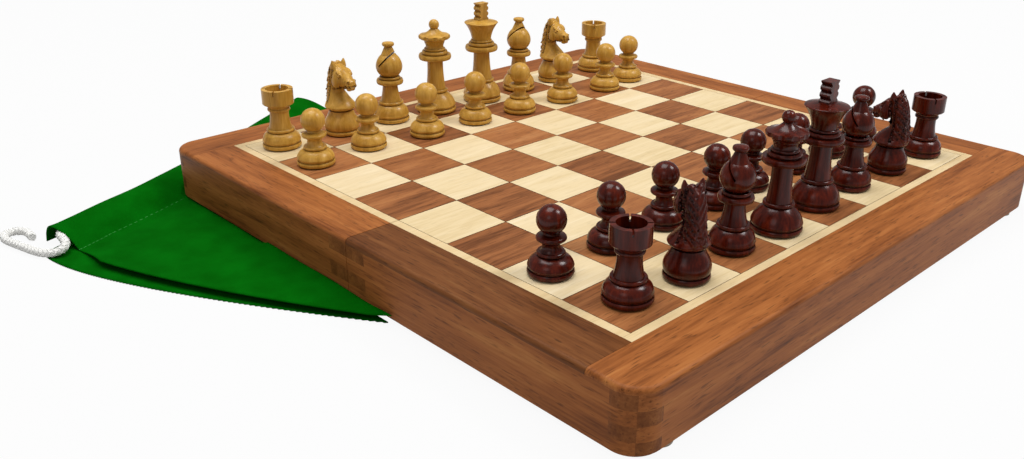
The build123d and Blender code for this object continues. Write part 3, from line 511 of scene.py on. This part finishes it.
def carved_head():
    """Horse head as one carved surface: a remesh joins its masses, and the cuts are pressed in after."""
    work = bmesh.new()
    loft(work, [at(((back + front) / 2, 0, z), ((front - back) / 2, half, 1))
                for z, back, front, half in NECK_RINGS])
    upright = Matrix.Rotation(pi / 2, 4, "Y")
    loft(work, [at((f, 0, z), (high, half, 1), upright) for f, z, high, half in HEAD_RINGS])
    for place, size, tilt in FLANK_MASSES:
        mass(work, place, size, tilt)
    for flank in (-1, 1):
        lean = Matrix.Rotation(-flank * EAR_LEAN, 4, "X")
        root = at((EAR_ROOT[0], flank * EAR_ROOT[1], EAR_ROOT[2]), turn=lean)
        loft(work, [root @ Matrix.Translation((0, 0, up)) @ Matrix.Diagonal((along, across, 1, 1))
                    for up, along, across in EAR_RINGS])
    for n in range(MANE_LOCKS):
        share = n / (MANE_LOCKS - 1)
        crest = Vector(MANE_TOP).lerp(Vector(MANE_FOOT), share)
        back = crest.x - MANE_ARCH * sin(pi * share) + LOCK_SIZE[0]
        mass(work, (back, LOCK_ASIDE, crest.y), LOCK_SIZE, LOCK_TILT)
    bmesh.ops.recalc_face_normals(work, faces=work.faces)
    rough = bpy.data.meshes.new("knight_masses")
    work.to_mesh(rough)
    work.free()
    blank = bpy.data.objects.new("knight_masses", rough)
    bpy.context.scene.collection.objects.link(blank)
    join = blank.modifiers.new("join", "REMESH")
    join.mode = "VOXEL"
    join.voxel_size = HEAD_VOXEL
    soften = blank.modifiers.new("soften", "SMOOTH")
    soften.factor = HEAD_SOFTENING
    soften.iterations = HEAD_PASSES
    bpy.context.view_layer.update()
    carved = bpy.data.meshes.new_from_object(blank.evaluated_get(bpy.context.evaluated_depsgraph_get()))
    bpy.data.objects.remove(blank)
    for v in carved.vertices:
        v.co -= v.normal * carving_depth(*(v.co / MM)) * MM
    return carved


def axis_of(name):
    """Foot of a turned piece's axis, a hair above the board, from the round felt under it."""
    felt_points = [v.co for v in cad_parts[name].data.vertices if v.co.z < TOP_Z + FELT_T - HAIR]
    middle = [(min(p[i] for p in felt_points) + max(p[i] for p in felt_points)) / 2 for i in (0, 1)]
    return Vector((*middle, TOP_Z + HAIR))


def knights():
    """Each knight's turned base with the carved head on it, where its node stands."""
    model = bmesh.new()
    felt_disc = [(0, 0), (KNIGHT_FELT_R, 0), (KNIGHT_FELT_R, FELT_T / MM)]
    outline = [*felt_disc, *KNIGHT_BASE, (0, KNIGHT_BASE[-1][1])]
    points = [model.verts.new((r * MM, 0, z * MM)) for r, z in outline]
    edges = [model.edges.new(pair) for pair in zip(points, points[1:])]
    bmesh.ops.spin(model, geom=points + edges, axis=(0, 0, 1), cent=(0, 0, 0), steps=TURNED_STEPS,
                   angle=2 * pi, use_merge=True)
    bmesh.ops.remove_doubles(model, verts=model.verts, dist=HAIR / 4)
    bmesh.ops.recalc_face_normals(model, faces=model.faces)
    for edge in model.edges:
        edge.smooth = edge.calc_face_angle(0.0) < SHARP_FROM
    x, y, z = EYE
    for flank in (-1, 1):
        ball(model, EYE_SEGMENTS, EYE_R, at((x, flank * y, z)))
    model.from_mesh(carved_head())
    for face in model.faces:
        face.smooth = True
        face.material_index = int(face.calc_center_median().z < FELT_T - HAIR)
    for name, facing in KNIGHT_FACING.items():
        work = model.copy()
        turn = Matrix.Rotation(radians(facing), 4, "Z")
        bmesh.ops.transform(work, verts=work.verts, matrix=Matrix.Translation(axis_of(name)) @ turn)
        mesh = bpy.data.meshes.new(f"{name}_carved")
        work.to_mesh(mesh)
        work.free()
        light_side = name.startswith("white")
        piece = show(f"{name}_carved", mesh, name, "light_piece_wood" if light_side else "dark_piece_wood",
                     LIGHT_PIECES if light_side else DARK_PIECES, PIECE_FELT)
        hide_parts(name)
    model.free()


def bow(points, t):
    """Point on an edge that bows towards its middle point."""
    a, b, c = (Vector(p) for p in points)
    return a * (1 - t) ** 2 + b * 2 * t * (1 - t) + c * t ** 2


def clear_of_board(x, y):
    """How far a point lies outside the board's outline in plan, with the outline's corners rounded."""
    inner = BOARD_HALF - RAIL_CORNER_R
    dx, dy = max(0.0, abs(x) - inner), max(0.0, abs(y) - inner)
    return max(0.0, (dx * dx + dy * dy) ** 0.5 - RAIL_CORNER_R)


def lower_height(x, y, from_hem, from_side):
    """Flat on the table."""
    return LOWER_Z


def upper_height(x, y, from_hem, from_side):
    """Casing that stands up along the mouth, a stitched dip behind it, and a slack belly to the side fold."""
    at_rail = smooth_step(BAG_EDGE_Y - y, 0, RAIL_REACH)
    free = max(at_rail, smooth_step(clear_of_board(x, y), FREE_FROM, FREE_TO))
    roll = 0.0
    if from_hem < HEM_RIDGE:
        roll = HEM_RISE * sin(pi / 2 * from_hem / HEM_RIDGE) ** HEM_ROUND
    elif from_hem < HEM_DEPTH:
        roll = HEM_RISE * cos(pi / 2 * (from_hem - HEM_RIDGE) / (HEM_DEPTH - HEM_RIDGE))
    at_fold = smooth_step(from_side, 0, FOLD_REACH)
    beyond = smooth_step(from_hem, HEM_DEPTH, HEM_DEPTH + PUFF_REACH)
    belly = beyond * (FOLD_RISE + (PUFF - FOLD_RISE) * at_fold)
    crumple = CRUMPLE * noise.noise(Vector((x, y, 0)) / CRUMPLE_SIZE) * at_fold
    against = at_rail * RAIL_RISE * (1 - smooth_step(clear_of_board(x, y), 0, RAIL_REACH))
    return UPPER_Z + free * max(0.0, roll + belly + crumple + against)


def cloth_point(side, height, u, d, notch=0.0):
    """Point of a bag layer, a share u along the mouth and a share d down from it, lifted by its height."""
    far, corner = Vector(BAG_FAR_CORNER), Vector(side[0])
    hem_end, side_end = Vector(HEM_END), Vector(side[2])
    hem = bow([side[0], HEM_MIDDLE, HEM_END], u)
    base = side_end.lerp(far, u)
    left, right = bow(side, d), hem_end.lerp(far, d)
    flat = corner.lerp(hem_end, u) * (1 - d) + base * d
    place = CORNER + (hem * (1 - d) + base * d + left * (1 - u) + right * u - flat) * MM
    from_hem = d * (corner - side_end).length * MM
    from_side = u * (hem_end - corner).length * MM
    if from_hem < 2 * HEM_DEPTH:
        place.x += notch * sin(pi / 2 * from_hem / HEM_DEPTH) * max(0.0, 1 - from_side / HEM_DEPTH)
    return Vector((*place, height(*place, from_hem, from_side)))


def cloth_layer(side, height, pinked=0.0, notch=0.0):
    """One layer of the bag: a grid laid between its four edges, cut where the folding half swings."""
    work = bmesh.new()
    bmesh.ops.create_grid(work, x_segments=BAG_ACROSS, y_segments=BAG_DOWN, size=0.5)
    for v in work.verts:
        u, d = v.co.x + 0.5, v.co.y + 0.5
        v.co = cloth_point(side, height, u, d, notch)
        if u < 1 / BAG_ACROSS / 2 and round(d * BAG_DOWN) % 2:
            v.co.x -= pinked
    for place, way in (((BAG_EDGE_X, 0, 0), (1, 0, 0)), ((0, BAG_EDGE_Y, 0), (0, 1, 0))):
        everything = work.verts[:] + work.edges[:] + work.faces[:]
        bmesh.ops.bisect_plane(work, geom=everything, plane_co=place, plane_no=way)
    hidden = [f for f in work.faces
              if f.calc_center_median().x > BAG_EDGE_X and f.calc_center_median().y < BAG_EDGE_Y]
    bmesh.ops.delete(work, geom=hidden, context="FACES")
    bmesh.ops.recalc_face_normals(work, faces=work.faces)
    for face in work.faces:
        face.smooth = True
    return work


def stitching(material):
    """Row of stitches that closes the casing, wherever the board doesn't stand on it."""
    work = bmesh.new()
    down = HEM_DEPTH / MM / (Vector(UPPER_SIDE[0]) - Vector(UPPER_SIDE[2])).length
    for n in range(STITCHES):
        here, ahead = (cloth_point(UPPER_SIDE, upper_height, (n + step) / STITCHES, down, HEM_NOTCH)
                       for step in STITCH_SPAN)
        if clear_of_board(here.x, here.y) > FREE_TO:
            turn = (ahead - here).to_track_quat("X", "Z").to_matrix().to_4x4()
            lift = Vector((0, 0, CLOTH_T / 2))
            size = Matrix.Diagonal((*(Vector(STITCH_SIZE) * MM), 1.0))
            ball(work, STITCH_SEGMENTS, 1.0, Matrix.Translation(here + lift) @ turn @ size)
    for face in work.faces:
        face.smooth = True
    mesh = bpy.data.meshes.new("bag_stitching")
    work.to_mesh(mesh)
    work.free()
    return show("bag_stitching", mesh, "bag", "bag_cloth", material)


def bag(cloth, thread):
    """Cloth bag in two layers, the lower one with a pinked edge that shows past the upper one's fold."""
    layers = {"bag_lower_layer": cloth_layer(LOWER_SIDE, lower_height, pinked=PINKING),
              "bag_upper_layer": cloth_layer(UPPER_SIDE, upper_height, notch=HEM_NOTCH)}
    for name, work in layers.items():
        mesh = bpy.data.meshes.new(name)
        work.to_mesh(mesh)
        work.free()
        layers[name] = show(name, mesh, "bag", "bag_cloth", cloth)
        wall = layers[name].modifiers.new("cloth", "SOLIDIFY")
        wall.thickness = CLOTH_T
        wall.offset = 0
    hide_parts("cloth_bag")
    stitching(thread)


def drawstring(material):
    """Braided cord along its route: a smooth core with its strands worked over and under round it."""
    curve = bpy.data.curves.new("drawstring_core", "CURVE")
    curve.dimensions = "3D"
    curve.resolution_u = CORD_STEPS
    spline = curve.splines.new("NURBS")
    spline.points.add(len(CORD_ROUTE) - 1)
    for point, place in zip(spline.points, CORD_ROUTE):
        point.co = (*(CORNER.to_3d() + Vector(place) * MM), 1.0)
    spline.order_u = 3
    spline.use_endpoint_u = True
    core = bpy.data.objects.new("drawstring_core", curve)
    bpy.context.scene.collection.objects.link(core)
    line = [v.co.copy() for v in bpy.data.meshes.new_from_object(core).vertices]
    curve.bevel_depth = CORD_D / 2 - CORE_INSET
    curve.bevel_resolution = CORE_ROUND
    curve.use_fill_caps = True
    curve.materials.append(material)

    braid = bpy.data.curves.new("drawstring_braid", "CURVE")
    braid.dimensions = "3D"
    braid.bevel_depth = BRAID_STRAND_R
    braid.bevel_resolution = STRAND_ROUND
    braid.use_fill_caps = True
    braid.materials.append(material)
    for n in range(BRAID_STRANDS):
        strand = braid.splines.new("POLY")
        strand.points.add(len(line) - 1)
        way = 1 if n % 2 else -1
        run = 0.0
        for i, place in enumerate(line):
            ahead = line[min(i + 1, len(line) - 1)] - line[max(i - 1, 0)]
            if i:
                run += (place - line[i - 1]).length
            aside = ahead.normalized().cross(Vector((0, 0, 1))).normalized()
            above = aside.cross(ahead.normalized())
            turn = 2 * pi * (way * run / BRAID_PITCH + n / BRAID_STRANDS)
            out = BRAID_RADIUS + BRAID_WEAVE * way * cos(2 * turn)
            strand.points[i].co = (*(place + out * (aside * cos(turn) + above * sin(turn))), 1.0)
    worked = bpy.data.objects.new("drawstring_braid", braid)
    bpy.context.scene.collection.objects.link(worked)
    for piece in (core, worked):
        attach(piece, "bag")
    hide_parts("drawstring")


def set_camera():
    """Camera at the photograph's place, turned by its yaw, pitch and roll."""
    level = Vector((cos(CAMERA_YAW), sin(CAMERA_YAW), 0))
    forward = level * cos(CAMERA_PITCH) - Vector((0, 0, sin(CAMERA_PITCH)))
    right = Vector((sin(CAMERA_YAW), -cos(CAMERA_YAW), 0))
    down = forward.cross(right)
    across = right * cos(CAMERA_ROLL) + down * sin(CAMERA_ROLL)
    up = right * sin(CAMERA_ROLL) - down * cos(CAMERA_ROLL)
    data = bpy.data.cameras.new("photo_camera")
    data.sensor_width = CAMERA_SENSOR
    data.lens = CAMERA_LENS
    data.shift_x, data.shift_y = CAMERA_SHIFT
    data.clip_start = CAMERA_NEAR
    camera = bpy.data.objects.new("photo_camera", data)
    camera.matrix_world = Matrix.Translation(CAMERA_AT) @ Matrix((across, up, -forward)).transposed().to_4x4()
    bpy.context.scene.collection.objects.link(camera)
    bpy.context.scene.camera = camera


# Floor: how far it lies below the object and how far it reaches, in metres, how much of what is seen of it
# is plain white, and the grey that it bounces light with
FLOOR_DROP = 0.1 * MM
FLOOR_REACH = 6.0
FLOOR_GLOW = 0.93
FLOOR_GREY = (0.55, 0.55, 0.55)


def floor():
    """Pale floor that keeps a soft shadow and reads as white to the camera."""
    mesh = bpy.data.meshes.new("floor")
    work = bmesh.new()
    bmesh.ops.create_grid(work, x_segments=1, y_segments=1, size=FLOOR_REACH)
    bmesh.ops.translate(work, verts=work.verts, vec=(0, 0, -FLOOR_DROP))
    work.to_mesh(mesh)
    work.free()
    material = bpy.data.materials.new("pale_floor")
    material.use_nodes = True
    tree = material.node_tree
    tree.nodes.clear()
    path = add(tree, "ShaderNodeLightPath")
    seen = add(tree, "ShaderNodeMath", {0: path.outputs["Is Camera Ray"], 1: path.outputs["Is Glossy Ray"]},
               operation="MAXIMUM").outputs[0]
    seen = add(tree, "ShaderNodeMath", {0: seen, 1: path.outputs["Is Transmission Ray"]},
               operation="MAXIMUM").outputs[0]
    share = add(tree, "ShaderNodeMath", {0: seen, 1: FLOOR_GLOW}, operation="MULTIPLY").outputs[0]
    plain = add(tree, "ShaderNodeBsdfDiffuse", {"Color": (*FLOOR_GREY, 1)})
    white = add(tree, "ShaderNodeEmission", {"Color": (1, 1, 1, 1), "Strength": 1.0})
    mixed = add(tree, "ShaderNodeMixShader", {0: share, 1: plain.outputs[0], 2: white.outputs[0]})
    add(tree, "ShaderNodeOutputMaterial", {"Surface": mixed.outputs[0]})
    ground = bpy.data.objects.new("floor", mesh)
    ground.data.materials.append(material)
    bpy.context.scene.collection.objects.link(ground)


# Lamps: name, place, size, power in watts. The key stands to the photograph's right
LAMPS = [("key", (0.75, -0.7, 1.35), 0.5, 14.0),
         ("top", (-0.1, 0.3, 1.6), 1.0, 20.0),
         ("left_fill", (-1.3, -0.5, 0.9), 0.6, 1.5)]
SKY = 0.33


def light():
    """Even studio light from all sides, with soft lamps that give the shapes their shade."""
    world = bpy.data.worlds.new("studio")
    bpy.context.scene.world = world
    world.use_nodes = True
    tree = world.node_tree
    tree.nodes.clear()
    back = add(tree, "ShaderNodeBackground", {"Color": (1, 1, 1, 1), "Strength": SKY})
    add(tree, "ShaderNodeOutputWorld", {"Surface": back.outputs[0]})
    for name, place, size, power in LAMPS:
        data = bpy.data.lights.new(name, "AREA")
        data.size = size
        data.energy = power
        lamp = bpy.data.objects.new(name, data)
        lamp.location = place
        lamp.rotation_euler = (-Vector(place)).to_track_quat("-Z", "Y").to_euler()
        bpy.context.scene.collection.objects.link(lamp)


bpy.context.scene.view_settings.view_transform = "Standard"
set_camera()
light()
floor()
finish_nodes()
knights()
bag(cotton_cloth("green_brushed_cotton", "#014f03", "#025c07"),
    cotton_cloth("seam_thread", "#1f6a26", "#35843b"))
drawstring(cord_cotton())
